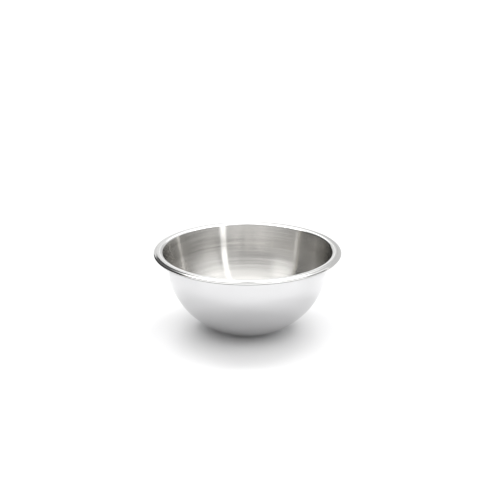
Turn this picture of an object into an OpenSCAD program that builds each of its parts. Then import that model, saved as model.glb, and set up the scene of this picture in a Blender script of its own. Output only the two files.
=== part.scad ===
// Hemispherical mixing bowl in spun stainless sheet.
// The sheet is one piece from the flat base to the rolled rim. The top of the wall leaves
// the sphere straight and leans out a little, turns over a tight crest, crosses over in a
// low crown and is rolled round a wire, which stiffens the edge and stays captive in it.
// Millimetres. +Z is up, and the origin is the centre of the base, on the table.

/* [Bowl] */
// Inside diameter of the hemisphere
inner_d = 200; // [160:2:300]
// Thickness of the sheet
sheet_t = 0.8; // [0.6:0.1:1.2]
// Diameter of the flat that the bowl stands on
base_d = 57.6; // [40:0.2:64]
// Outside radius of the turn from the flat base into the sphere
base_turn_r = 12; // [8:1:20]

/* [Rim] */
// Height of the rim's top above the centre of the hemisphere
rim_rise = 5; // [4:0.5:8]
// Radius of the crest, the tight bend from the wall into the rim's top
crest_r = 1.5; // [1.4:0.1:2]
// Radius of the low crown across the top of the rim
crown_r = 15; // [13:0.5:18]
// Outside diameter of the rolled edge
roll_d = 4; // [3.6:0.1:5]
// Angle through which the edge is rolled, from the outer end of the crown
roll_wrap = 270; // [245:5:275]
// Gap all round between the wire and the inside of the roll
wire_gap = 0.05; // [0.02:0.01:0.15]

/* [Hidden] */
$fn = 180;

// Sphere: inside and outside radius
sphere_ri = inner_d / 2;
sphere_ro = sphere_ri + sheet_t;

// Base: the turn is tangent to the flat and to the sphere, which sets how far the
// sphere's centre stands above the centre of the turn, and so above the table
base_r = base_d / 2;
base_fall = sqrt(pow(sphere_ro - base_turn_r, 2) - pow(base_r, 2));
sphere_z = base_fall + base_turn_r;

// Line on which the turn becomes tangent to the sphere, from inside to outside
turn_dir = [base_r, -base_fall] / (sphere_ro - base_turn_r);
turn_in = [0, sphere_z] + (sphere_ri - 2) * turn_dir;
turn_out = [0, sphere_z] + (sphere_ro + 2) * turn_dir;

// Wall: way that its straight top runs up, the way that its inside looks, and the point
// at which its inside leaves the sphere. The straight top is let into the sphere by a
// hair, and so is the crest into the straight top, so that each runs into the next
join = 0.003;
wall_dir = [20, 99] / 101;
wall_look = [-wall_dir[1], wall_dir[0]];
wall_low = [0, sphere_z] - (sphere_ri - join) * wall_look;

// Sphere: its upper end is cut on a slant, low inside and high outside, and the straight
// top is cut to lie over it
slant = 2;
sphere_end = [0, sphere_z] - sphere_ri * wall_look;
slant_run = slant * wall_dir - sheet_t * wall_look;
lean_in = sphere_end - 2 * slant_run;
lean_out = sphere_end + 3 * slant_run;

// Rim: ways that its top looks where the crest runs into the crown, and the crown into
// the roll
crest_dir = [-0.28, 0.96];
crown_dir = [0.28, 0.96];

// Rim: the wall's upper end, and the centres of the three bends. Each bend starts tangent
// to what comes before
roll_r = roll_d / 2;
crest_z = sphere_z + rim_rise - crown_r + (crown_r - crest_r) * crest_dir[1];
wall_rise = (crest_z + (crest_r - join) * wall_look[1] - wall_low[1]) / wall_dir[1];
wall_high = wall_low + wall_rise * wall_dir;
crest_x = wall_high[0] - (crest_r - join) * wall_look[0];
crest_c = [round(crest_x * 1000) / 1000, round(crest_z * 1000) / 1000];
crown_c = crest_c + (crest_r - crown_r) * crest_dir;
roll_c = crown_c + (crown_r - roll_r) * crown_dir;
roll_end = asin(crown_dir[1]) - roll_wrap;

// Rim: outer ends of the lines on which one bend runs into the next
clear = 1.2;
wall_out = crest_c + (crest_r + clear) * wall_look;
crest_low = wall_out - clear * wall_dir;
crest_in = crest_c + (crest_r - sheet_t) * wall_look;
crest_out = crest_c + (crest_r + clear) * crest_dir;
crown_out = roll_c + (roll_r + clear) * crown_dir;

// Wire: it fills the roll
wire_r = roll_r - sheet_t - wire_gap;

// Section of a bent strip of sheet: a ring of the sheet's thickness about a bend's
// centre, kept inside an outline
module bend(centre, r_out, outline) {
    intersection() {
        translate(centre) difference() {
            circle(r = r_out);
            circle(r = r_out - sheet_t);
        }
        polygon(outline);
    }
}

module base_section() {
    square([base_r, sheet_t]);
}

module turn_section() {
    bend([base_r, base_turn_r], base_turn_r,
        [[base_r, -2], [base_r, sheet_t + 1], turn_in, turn_out, [turn_out[0], -2]]);
}

module sphere_section() {
    bend([0, sphere_z], sphere_ro,
        [turn_in, turn_out, [sphere_ro + 9, turn_out[1]], [sphere_ro + 9, lean_out[1]],
         lean_out, lean_in]);
}

module wall_section() {
    lap = 0.35;
    polygon([wall_low - slant * wall_dir, wall_low - sheet_t * wall_look,
        wall_high - sheet_t * wall_look + lap * wall_dir, wall_high]);
}

module crest_section() {
    bend(crest_c, crest_r, [crest_c, crest_out, wall_out, crest_low, crest_in]);
}

module crown_section() {
    bend(crown_c, crown_r, [crest_c, roll_c, crown_out, crest_out]);
}

module roll_section() {
    reach = roll_r + 2;
    x = roll_c[0];
    z = roll_c[1];
    bend(roll_c, roll_r,
        [roll_c, crown_out, [x + reach, crown_out[1]], [x + reach, z - reach],
         [x - reach, z - reach], [x - reach, z - reach * tan(roll_end + 180)]]);
}

// One spun sheet: flat base, turn, hemisphere, straight top, crest, crown and rolled edge
module bowl_shell() {
    color([0.78, 0.78, 0.77]) rotate_extrude() {
        base_section();
        turn_section();
        sphere_section();
        wall_section();
        crest_section();
        crown_section();
        roll_section();
    }
}

// Stiffening wire, closed into a ring inside the roll
module rim_wire() {
    color([0.62, 0.62, 0.61]) rotate_extrude()
        translate(roll_c) circle(r = wire_r, $fn = 48);
}

bowl_shell();
rim_wire();
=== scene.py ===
"""Looks of a hemispherical steel mixing bowl: a spun shell with a brushed inside, a satin
outside and a polished, rolled rim, on a plain white floor in soft studio light."""
import math

import bpy
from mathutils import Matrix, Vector


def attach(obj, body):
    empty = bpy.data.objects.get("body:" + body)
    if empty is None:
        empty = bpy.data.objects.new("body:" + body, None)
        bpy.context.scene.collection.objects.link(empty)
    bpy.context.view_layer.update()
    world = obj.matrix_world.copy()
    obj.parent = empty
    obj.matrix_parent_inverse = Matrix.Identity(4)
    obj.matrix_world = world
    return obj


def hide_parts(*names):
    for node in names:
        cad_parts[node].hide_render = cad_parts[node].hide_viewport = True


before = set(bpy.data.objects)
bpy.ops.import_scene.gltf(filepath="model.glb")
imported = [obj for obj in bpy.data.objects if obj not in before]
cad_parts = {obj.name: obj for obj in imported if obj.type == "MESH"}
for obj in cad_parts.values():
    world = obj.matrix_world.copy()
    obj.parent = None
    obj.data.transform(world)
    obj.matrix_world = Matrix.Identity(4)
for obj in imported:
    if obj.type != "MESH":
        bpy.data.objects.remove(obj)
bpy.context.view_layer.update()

# ---------------------------------------------------------------- sizes, in millimetres
R_IN = 100.0            # inside radius of the hemisphere
SHEET = 0.8             # thickness of the sheet
R_OUT = R_IN + SHEET
CENTRE_Z = 96.0         # height of the sphere's centre
BASE_R = 28.8           # radius of the flat base
TURN_R = 12.0           # outside radius of the turn from the base into the sphere
TOP_Z = 101.0           # height of the rim's top
LEAN = (20 / 101, 99 / 101)             # way that the straight top of the wall runs up: out, up
CREST_DIR, CROWN_DIR = (-0.28, 0.96), (0.28, 0.96)   # ways that the rim looks at both ends of its crown
CREST_R, CROWN_R, ROLL_R = 1.5, 15.0, 2.0   # radii of the rim's bends, on the visible face


def bends():
    """Crest, crown and rolled edge of the rim, each tangent to the one before: centre, radius of
    the visible face, and the angles between which it runs. Also both ends of the straight wall."""
    deg = lambda d: math.degrees(math.atan2(d[1], d[0]))
    look = (-LEAN[1], LEAN[0])
    crest_z = TOP_Z - CROWN_R + (CROWN_R - CREST_R) * CREST_DIR[1]
    low = (R_IN * LEAN[1], CENTRE_Z - R_IN * LEAN[0])
    rise = (crest_z + CREST_R * look[1] - low[1]) / LEAN[1]
    high = (low[0] + rise * LEAN[0], low[1] + rise * LEAN[1])
    crest = (high[0] - CREST_R * look[0], crest_z)
    crown = tuple(c + (CREST_R - CROWN_R) * d for c, d in zip(crest, CREST_DIR))
    roll = tuple(c + (CROWN_R - ROLL_R) * d for c, d in zip(crown, CROWN_DIR))
    return (low, high, (*crest, CREST_R, deg(look), deg(CREST_DIR)), (*crown, CROWN_R, deg(CREST_DIR), deg(CROWN_DIR)),
            (*roll, ROLL_R, deg(CROWN_DIR), deg(CROWN_DIR) - 270.0))


WALL_LOW, WALL_HIGH, CREST, CROWN, ROLL = bends()
MM = 0.001
AROUND = 280            # steps round the bowl

OUTSIDE, RIM, INSIDE = 0, 1, 2


# ---------------------------------------------------------------- the shell
def arc(cx, cz, r, a0, a1, n):
    """Points of an arc, angles in degrees, both ends included."""
    return [(cx + r * math.cos(math.radians(a0 + (a1 - a0) * i / n)),
             cz + r * math.sin(math.radians(a0 + (a1 - a0) * i / n))) for i in range(n + 1)]


def line(p, q, n):
    return [(p[0] + (q[0] - p[0]) * i / n, p[1] + (q[1] - p[1]) * i / n) for i in range(n + 1)]


def wave(s):
    """Height, in mm, of the faint rings that spinning leaves, at s mm along the sphere."""
    return (0.0060 * math.sin(s / 1.31 + 0.7 * math.sin(s / 9.0))
            + 0.0075 * math.sin(s / 2.17 + 1.9)
            + 0.0100 * math.sin(s / 4.35 + 0.6 * math.sin(s / 13.0)))


def sphere_arc(r, a0, a1, n, side):
    """An arc of the sphere with the rings of the spinning on it. They die out at its ends."""
    out = []
    for i in range(n + 1):
        t = i / n
        a = math.radians(a0 + (a1 - a0) * t)
        fade = min(1.0, 8.0 * t, 8.0 * (1.0 - t))
        rr = r + side * fade * wave(R_IN * (a + math.pi / 2))
        out.append((rr * math.cos(a), CENTRE_Z + rr * math.sin(a)))
    return out


def bend(spec, n, hidden=False, back=False):
    """One bend of the rim, on its visible or its hidden face."""
    cx, cz, r, a0, a1 = spec
    run = arc(cx, cz, r - SHEET if hidden else r, a0, a1, n)
    return run[::-1] if back else run


def wall(side, n):
    """The straight top of the wall, upwards, side mm behind its visible face."""
    shift = (side * LEAN[1], -side * LEAN[0])
    return line(*[(p[0] + shift[0], p[1] + shift[1]) for p in (WALL_LOW, WALL_HIGH)], n)


def profile():
    """The section from the middle of the underside, out over the rim and in to the middle of
    the floor: [(radius, height)], the zone of each step, and the corners that stay sharp."""
    tangent = -math.degrees(math.acos(BASE_R / (R_OUT - TURN_R)))
    lean = -math.degrees(math.atan2(*LEAN))
    runs = [
        (OUTSIDE, line((0.0, 0.0), (BASE_R, 0.0), 10)),
        (OUTSIDE, arc(BASE_R, TURN_R, TURN_R, -90, tangent, 6)),
        (OUTSIDE, sphere_arc(R_OUT, tangent, lean, 96, 0.35)),
        (OUTSIDE, wall(SHEET, 12)),
        (OUTSIDE, bend(CREST, 6, hidden=True)),
        (OUTSIDE, bend(CROWN, 8, hidden=True)),
        (OUTSIDE, bend(ROLL, 24, hidden=True)),
        (RIM, [bend(ROLL, 1, hidden=True)[-1], bend(ROLL, 1)[-1]]),
        (RIM, bend(ROLL, 44, back=True)),
        (RIM, bend(CROWN, 12, back=True)),
        (RIM, bend(CREST, 12, back=True)),
        (INSIDE, wall(0.0, 12)[::-1]),
        (INSIDE, sphere_arc(R_IN, lean, tangent, 96, 1.0)),
        (INSIDE, arc(BASE_R, TURN_R, TURN_R - SHEET, tangent, -90, 6)),
        (INSIDE, line((BASE_R, SHEET), (0.0, SHEET), 10)),
    ]
    points, zones, sharp = [runs[0][1][0]], [], set()
    for zone, run in runs:
        if len(run) == 2 and zone == RIM:
            sharp.update((len(points) - 1, len(points)))
        for p in run[1:]:
            points.append(p)
            zones.append(zone)
    return points, zones, sharp


def lathe(name, points, zones, sharp):
    """One closed skin turned round Z from a section that starts and ends on the axis."""
    run = [0.0]
    for a, b in zip(points, points[1:]):
        run.append(run[-1] + math.dist(a, b))
    total = run[-1]
    rings = len(points)
    verts, first = [], []
    for r, z in points:
        first.append(len(verts))
        if r < 1e-9:
            verts.append((0.0, 0.0, z * MM))
            continue
        for k in range(AROUND):
            a = 2 * math.pi * k / AROUND
            verts.append((r * math.cos(a) * MM, r * math.sin(a) * MM, z * MM))
    faces, slots, uvs = [], [], []
    for j in range(rings - 1):
        a, b = first[j], first[j + 1]
        v0, v1 = run[j] / total, run[j + 1] / total
        for k in range(AROUND):
            n = (k + 1) % AROUND
            u0, u1 = k / AROUND, (k + 1) / AROUND
            if points[j][0] < 1e-9:
                faces.append((a, b + n, b + k))
                uvs += [((u0 + u1) / 2, v0), (u1, v1), (u0, v1)]
            elif points[j + 1][0] < 1e-9:
                faces.append((a + k, a + n, b))
                uvs += [(u0, v0), (u1, v0), ((u0 + u1) / 2, v1)]
            else:
                faces.append((a + k, a + n, b + n, b + k))
                uvs += [(u0, v0), (u1, v0), (u1, v1), (u0, v1)]
            slots.append(zones[j])
    mesh = bpy.data.meshes.new(name)
    mesh.from_pydata(verts, [], faces)
    mesh.polygons.foreach_set("use_smooth", [True] * len(faces))
    mesh.polygons.foreach_set("material_index", slots)
    layer = mesh.uv_layers.new(name="OFBake")
    layer.data.foreach_set("uv", [c for uv in uvs for c in uv])
    ring_of = {}
    for j in sharp:
        for k in range(AROUND):
            ring_of[first[j] + k] = j
    flags = [False] * len(mesh.edges)
    for e in mesh.edges:
        i, j = e.vertices
        if i in ring_of and ring_of.get(j) == ring_of[i]:
            flags[e.index] = True
    for e, f in zip(mesh.edges, flags):
        e.use_edge_sharp = f
    mesh.validate()
    mesh.update()
    obj = bpy.data.objects.new(name, mesh)
    bpy.context.scene.collection.objects.link(obj)
    return obj


# ---------------------------------------------------------------- materials
class Graph:
    """Short names for making a material's nodes."""

    def __init__(self, name):
        self.mat = bpy.data.materials.new(name)
        self.mat.use_nodes = True
        self.tree = self.mat.node_tree
        self.shader = next(n for n in self.tree.nodes if n.type == "BSDF_PRINCIPLED")

    def node(self, kind, **settings):
        n = self.tree.nodes.new(kind)
        for k, v in settings.items():
            setattr(n, k, v)
        return n

    def link(self, a, b):
        self.tree.links.new(a, b)

    def math(self, op, a, b=None, c=None):
        n = self.node("ShaderNodeMath", operation=op)
        for i, v in enumerate((a, b, c)):
            if v is None:
                continue
            if isinstance(v, (int, float)):
                n.inputs[i].default_value = v
            else:
                self.link(v, n.inputs[i])
        return n.outputs[0]

    def combine(self, x, y, z):
        n = self.node("ShaderNodeCombineXYZ")
        for i, v in enumerate((x, y, z)):
            if isinstance(v, (int, float)):
                n.inputs[i].default_value = v
            else:
                self.link(v, n.inputs[i])
        return n.outputs[0]

    def noise(self, vector, scale, detail, rough=0.5):
        n = self.node("ShaderNodeTexNoise", noise_dimensions="3D")
        n.inputs["Scale"].default_value = scale
        n.inputs["Detail"].default_value = detail
        n.inputs["Roughness"].default_value = rough
        self.link(vector, n.inputs["Vector"])
        return n.outputs["Fac"]

    def spread(self, value, low, high, to_low, to_high):
        n = self.node("ShaderNodeMapRange")
        n.inputs["From Min"].default_value = low
        n.inputs["From Max"].default_value = high
        n.inputs["To Min"].default_value = to_low
        n.inputs["To Max"].default_value = to_high
        self.link(value, n.inputs["Value"])
        return n.outputs["Result"]

    def turned(self):
        """Coordinates of a turned surface: a point on the unit circle round the axis, and how
        far it is along the section, in mm."""
        where = self.node("ShaderNodeTexCoord").outputs["Object"]
        split = self.node("ShaderNodeSeparateXYZ")
        self.link(where, split.inputs[0])
        x, y, z = split.outputs
        r = self.math("MAXIMUM", self.math("SQRT", self.math("ADD", self.math("MULTIPLY", x, x), self.math("MULTIPLY", y, y))), 1e-5)
        cx, cy = self.math("DIVIDE", x, r), self.math("DIVIDE", y, r)
        down = self.math("SUBTRACT", CENTRE_Z * MM, z)
        along = self.math("MULTIPLY", self.math("ARCTAN2", r, down), R_IN)
        return cx, cy, along, self.math("MULTIPLY", r, 1000.0), self.math("MULTIPLY", z, 1000.0)


def steel(name, light, dark, rough, rough_amp, aniso, fine_mm, band_mm, fine_amp, band_amp, bump_mm, arc_k, by_section=True, painted_gap_shade=None):
    """Stainless steel worked in rings round the axis. Fine lines and broader bands run round
    the bowl, in its tint, its roughness and its surface. Below a height the steel gets rougher
    and is painted dark, a painted shade for the gap under the rolled edge: the last argument
    gives where that starts and ends, in mm, and the tint of the painted shade."""
    g = Graph(name)
    cx, cy, along, r, z = g.turned()
    s = along if by_section else g.math("ADD", r, z)

    def rings(k, mm, detail, rough_n, shift=0.0):
        v = g.combine(g.math("MULTIPLY", cx, k), g.math("MULTIPLY", cy, k), g.math("ADD", g.math("DIVIDE", s, mm), shift))
        return g.noise(v, 1.0, detail, rough_n)

    fine = rings(arc_k, fine_mm, 2.0, 0.6)
    band = rings(arc_k * 0.45, band_mm, 2.0, 0.55, 17.0)
    broad = rings(0.5, band_mm * 5.0, 1.0, 0.5, 5.0)
    # tint
    tone = g.math("ADD", g.math("MULTIPLY", g.math("SUBTRACT", fine, 0.5), fine_amp),
                  g.math("ADD", g.math("MULTIPLY", g.math("SUBTRACT", band, 0.5), band_amp),
                         g.math("MULTIPLY", g.math("SUBTRACT", broad, 0.5), band_amp * 0.8)))
    mix = g.node("ShaderNodeMix", data_type="RGBA")
    g.link(g.spread(tone, -0.5, 0.5, 0.0, 1.0), mix.inputs["Factor"])
    mix.inputs["A"].default_value = (*dark, 1.0)
    mix.inputs["B"].default_value = (*light, 1.0)
    tint = mix.outputs["Result"]
    grain = g.math("ADD", rough, g.math("MULTIPLY", tone, rough_amp))
    # Painted shade: from low to high mm the tint darkens to colour, a painted shadow for the gap under the rolled
    # edge; the rise in roughness there is real.
    if painted_gap_shade:
        low, high, colour = painted_gap_shade
        fade = g.node("ShaderNodeMix", data_type="RGBA")
        g.link(g.spread(z, low, high, 0.0, 1.0), fade.inputs["Factor"])
        fade.inputs["A"].default_value = (*colour, 1.0)
        g.link(tint, fade.inputs["B"])
        tint = fade.outputs["Result"]
        grain = g.math("ADD", grain, g.spread(z, low, high, 0.25, 0.0))
    g.link(tint, g.shader.inputs["Base Color"])
    # roughness
    g.link(grain, g.shader.inputs["Roughness"])
    # surface
    bump = g.node("ShaderNodeBump")
    bump.inputs["Strength"].default_value = 1.0
    bump.inputs["Distance"].default_value = bump_mm * MM
    g.link(g.math("ADD", g.math("MULTIPLY", fine, 0.35), band), bump.inputs["Height"])
    g.link(bump.outputs["Normal"], g.shader.inputs["Normal"])
    tangent = g.node("ShaderNodeTangent", direction_type="RADIAL", axis="Z")
    g.link(tangent.outputs["Tangent"], g.shader.inputs["Tangent"])
    g.shader.inputs["Metallic"].default_value = 1.0
    g.shader.inputs["Anisotropic"].default_value = aniso
    g.shader.inputs["Anisotropic Rotation"].default_value = 0.25
    return g.mat


inside = steel("steel_inside_brushed", (0.66, 0.65, 0.628), (0.52, 0.51, 0.492), 0.19, 0.12, 1.0, 0.35, 2.6, 0.8, 1.0, 0.003, 1.6)
outside = steel("steel_outside_satin", (0.63, 0.63, 0.635), (0.55, 0.55, 0.555), 0.22, 0.05, 0.35, 0.25, 2.2, 0.30, 0.30, 0.002, 2.0)
# The rim's band below 97.3 to 97.9 mm is painted dark, a painted shade for the gap under the rolled edge.
rim = steel("steel_rim_polished", (0.66, 0.658, 0.65), (0.57, 0.568, 0.56), 0.12, 0.05, 0.40, 0.20, 0.9, 0.35, 0.30, 0.0006, 3.0, by_section=False,
            painted_gap_shade=(97.3, 97.9, (0.17, 0.168, 0.164)))
wire = steel("steel_wire_drawn", (0.58, 0.575, 0.565), (0.38, 0.375, 0.37), 0.38, 0.12, 0.30, 0.12, 0.5, 0.6, 0.5, 0.003, 1.2, by_section=False)

shell = lathe("bowl_shell_spun", *profile())
for m in (outside, rim, inside):
    shell.data.materials.append(m)
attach(shell, "root")
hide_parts("bowl_shell")

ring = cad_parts["rim_wire"]
ring.data.materials.clear()
ring.data.materials.append(wire)
for p in ring.data.polygons:
    p.use_smooth = True


# ---------------------------------------------------------------- floor
def floor_material():
    g = Graph("floor_white")
    where = g.node("ShaderNodeTexCoord").outputs["Object"]
    n = g.noise(where, 3.0, 2.0)
    mix = g.node("ShaderNodeMix", data_type="RGBA")
    g.link(n, mix.inputs["Factor"])
    mix.inputs["A"].default_value = (0.77, 0.77, 0.775, 1.0)
    mix.inputs["B"].default_value = (0.79, 0.79, 0.79, 1.0)
    g.link(mix.outputs["Result"], g.shader.inputs["Base Color"])
    g.shader.inputs["Roughness"].default_value = 0.75
    g.shader.inputs["Specular IOR Level"].default_value = 0.2
    return g.mat


FLOOR_R = 0.22
FLOOR_AT = (0.0, -0.02)
FLOOR_Z = -0.0001       # a hair under the base, so that the two faces do not coincide


def floor():
    """A round white table top, a little nearer than the bowl."""
    rings = [FLOOR_R * k / 8 for k in range(9)]
    n = 96
    verts = [(*FLOOR_AT, FLOOR_Z)]
    faces = []
    for r in rings[1:]:
        verts += [(FLOOR_AT[0] + r * math.cos(2 * math.pi * k / n), FLOOR_AT[1] + r * math.sin(2 * math.pi * k / n), FLOOR_Z) for k in range(n)]
    for k in range(n):
        faces.append((0, 1 + k, 1 + (k + 1) % n))
        for j in range(len(rings) - 2):
            a, b = 1 + j * n, 1 + (j + 1) * n
            faces.append((a + k, b + k, b + (k + 1) % n, a + (k + 1) % n))
    mesh = bpy.data.meshes.new("floor_white")
    mesh.from_pydata(verts, [], faces)
    mesh.update()
    obj = bpy.data.objects.new("floor_white", mesh)
    bpy.context.scene.collection.objects.link(obj)
    obj.data.materials.append(floor_material())
    return obj


floor()

# ---------------------------------------------------------------- camera
FRAME_PX = 500.0
ELEVATION = math.radians(19.05)
DISTANCE = 1.400
FOCAL_PX = 1153.3
centre = Vector((0.0, 0.0, CENTRE_Z * MM))
back = Vector((0.0, -math.cos(ELEVATION), math.sin(ELEVATION)))
right = Vector((1.0, 0.0, 0.0))
up = Vector((0.0, math.sin(ELEVATION), math.cos(ELEVATION)))
aim = centre + (right * 2.5 + up * 3.2) * (DISTANCE / FOCAL_PX)
camera = bpy.data.objects.new("camera", bpy.data.cameras.new("camera"))
camera.location = centre + back * DISTANCE
camera.rotation_euler = (aim - camera.location).to_track_quat("-Z", "Y").to_euler()
camera.data.sensor_width = 36.0
camera.data.lens = FOCAL_PX * 36.0 / FRAME_PX
camera.data.clip_end = 50.0
bpy.context.scene.collection.objects.link(camera)
bpy.context.scene.camera = camera


# ---------------------------------------------------------------- light
class Studio:
    """Softboxes far away, as light by direction. Azimuth 0 is the side that the photographer
    stands on and positive is to the right; elevation is above the floor. Degrees."""

    def __init__(self):
        self.world = bpy.data.worlds.new("studio")
        self.world.use_nodes = True
        self.tree = self.world.node_tree
        self.tree.nodes.clear()
        way = self.node("ShaderNodeTexCoord").outputs["Generated"]
        split = self.node("ShaderNodeSeparateXYZ")
        self.tree.links.new(way, split.inputs[0])
        x, y, z = split.outputs
        self.azimuth = self.math("MULTIPLY", self.math("ARCTAN2", x, self.math("MULTIPLY", y, -1.0)), 180.0 / math.pi)
        self.elevation = self.math("MULTIPLY", self.math("ARCSINE", z), 180.0 / math.pi)
        self.total = None

    def node(self, kind, **settings):
        n = self.tree.nodes.new(kind)
        for k, v in settings.items():
            setattr(n, k, v)
        return n

    def math(self, op, *args):
        n = self.node("ShaderNodeMath", operation=op)
        for i, v in enumerate(args):
            if isinstance(v, (int, float)):
                n.inputs[i].default_value = v
            else:
                self.tree.links.new(v, n.inputs[i])
        return n.outputs[0]

    def window(self, value, low, high, soft):
        """1 between low and high, easing to 0 over soft degrees centred on each end."""
        def step(edge, a, b):
            n = self.node("ShaderNodeMapRange", interpolation_type="SMOOTHSTEP")
            n.inputs["From Min"].default_value = edge - soft / 2
            n.inputs["From Max"].default_value = edge + soft / 2
            n.inputs["To Min"].default_value, n.inputs["To Max"].default_value = a, b
            self.tree.links.new(value, n.inputs["Value"])
            return n.outputs["Result"]
        return self.math("MULTIPLY", step(low, 0.0, 1.0), step(high, 1.0, 0.0))

    def box(self, power, azimuth, width, low, high, colour=(1.0, 1.0, 1.0), soft=4.0, soft_v=None, lean=0.0):
        """A softbox round an azimuth, width degrees wide, between two elevations. It leans over
        by so many degrees for each degree of elevation."""
        part = self.window(self.elevation, low, high, soft if soft_v is None else soft_v)
        if width < 360.0:
            middle = self.math("MULTIPLY_ADD", self.elevation, lean, azimuth) if lean else azimuth
            turn = self.math("WRAP", self.math("SUBTRACT", self.azimuth, middle), 180.0, -180.0)
            part = self.math("MULTIPLY", part, self.window(turn, -width / 2, width / 2, soft))
        tint = self.node("ShaderNodeVectorMath", operation="SCALE")
        tint.inputs[0].default_value = [c * power for c in colour]
        self.tree.links.new(part, tint.inputs["Scale"])
        if self.total is None:
            self.total = tint.outputs[0]
        else:
            add = self.node("ShaderNodeVectorMath", operation="ADD")
            self.tree.links.new(self.total, add.inputs[0])
            self.tree.links.new(tint.outputs[0], add.inputs[1])
            self.total = add.outputs[0]

    def finish(self):
        """The boxes light the set. Past the floor's edge the eye meets plain white."""
        light = self.node("ShaderNodeBackground")
        self.tree.links.new(self.total, light.inputs["Color"])
        white = self.node("ShaderNodeBackground")
        white.inputs["Color"].default_value = (1.0, 1.0, 1.0, 1.0)
        white.inputs["Strength"].default_value = 1.1
        mix = self.node("ShaderNodeMixShader")
        self.tree.links.new(self.node("ShaderNodeLightPath").outputs["Is Camera Ray"], mix.inputs[0])
        self.tree.links.new(light.outputs[0], mix.inputs[1])
        self.tree.links.new(white.outputs[0], mix.inputs[2])
        self.tree.links.new(mix.outputs[0], self.node("ShaderNodeOutputWorld").inputs["Surface"])
        bpy.context.scene.world = self.world


WHITE, WARM = (1.0, 1.0, 1.0), (1.0, 0.93, 0.78)
# name: power, azimuth, width, lowest and highest elevation, colour, softness across and up
BOXES = {
    "overhead": (1.2, 0, 360, 78, 95, WHITE, 8, 8),
    "overhead_front": (1.9, 0, 130, 53, 76, WHITE, 30, 10),
    "overhead_right": (2.5, 106, 80, 50, 76, WHITE, 30, 10),
    "overhead_left": (3.0, -108, 84, 48, 76, WHITE, 30, 10),
    "overhead_back_right": (4.8, 138, 64, 52, 78, WHITE, 16, 8),
    "overhead_back_left": (4.8, -138, 64, 52, 78, WHITE, 16, 8),
    "back_left": (1.05, -175.5, 10, -28, 27, WHITE, 2, 4),
    "back_left_low": (0.95, -162, 17, -28, 20.5, WHITE, 2, 2),
    "back_right": (0.85, 176.5, 8, -28, 27, WHITE, 2, 4),
    "back_high": (2.2, 179.5, 17, 26, 52, WHITE, 4, 6),
    "right_panel": (0.8, 139.5, 65, -24, 36, WHITE, 2, 8),
    "right_panel_top": (0.9, 160, 24, 36, 53, WHITE, 4, 8),
    "right_high": (1.4, 94, 110, 34, 54, WHITE, 16, 8),
    "right_mid": (1.05, 76, 66, 12, 34, WHITE, 16, 12),
    "right_low": (0.3, 66, 56, -8, 14, WHITE, 24, 10),
    "left_back": (0.5, -135, 60, 40, 58, WHITE, 12, 8),
    "left_back_top": (0.9, -165, 13, 37, 53, WHITE, 4, 8),
    "left_dim": (0.14, -136, 58, 18, 42, WHITE, 8, 6),
    "left_high": (1.0, -56, 42, 26, 56, WHITE, 22, 12, -0.3),
    "front_low": (1.1, -2, 84, -10, 9, WHITE, 50, 8),
    "front_mid": (0.53, -11, 122, 7, 38, WHITE, 4, 10, -0.42),
    "front_high": (1.2, -4, 92, 38, 56, WHITE, 24, 10),
    "strip_low": (2.3, 33.4, 8, -10, 30, WHITE, 4, 6, 0.13),
    "strip_high": (0.9, 33.4, 8, 30, 54, WHITE, 4, 6, 0.13),
    "strip_glow": (0.14, 21, 22, -4, 46, WHITE, 10, 10, 0.13),
    "warm_left": (0.5, -74.5, 4, -12, 34, WARM, 3, 6, -0.42),
    "warm_right": (0.6, 110.5, 4, -12, 26, WARM, 3, 6),
    "floor_front": (1.85, 0, 150, -70, -2, WHITE, 16, 4),
    "floor_right": (1.2, 125, 100, -70, -20, WHITE, 12, 8),
    "floor_left": (1.3, -130, 100, -70, -22, WHITE, 12, 6),
    "fill": (0.03, 0, 360, -5, 60, WHITE, 4, 10),
}
studio = Studio()
for box in BOXES.values():
    studio.box(*box)
studio.finish()

view = bpy.context.scene.view_settings
view.view_transform = "Standard"
view.look = "None"
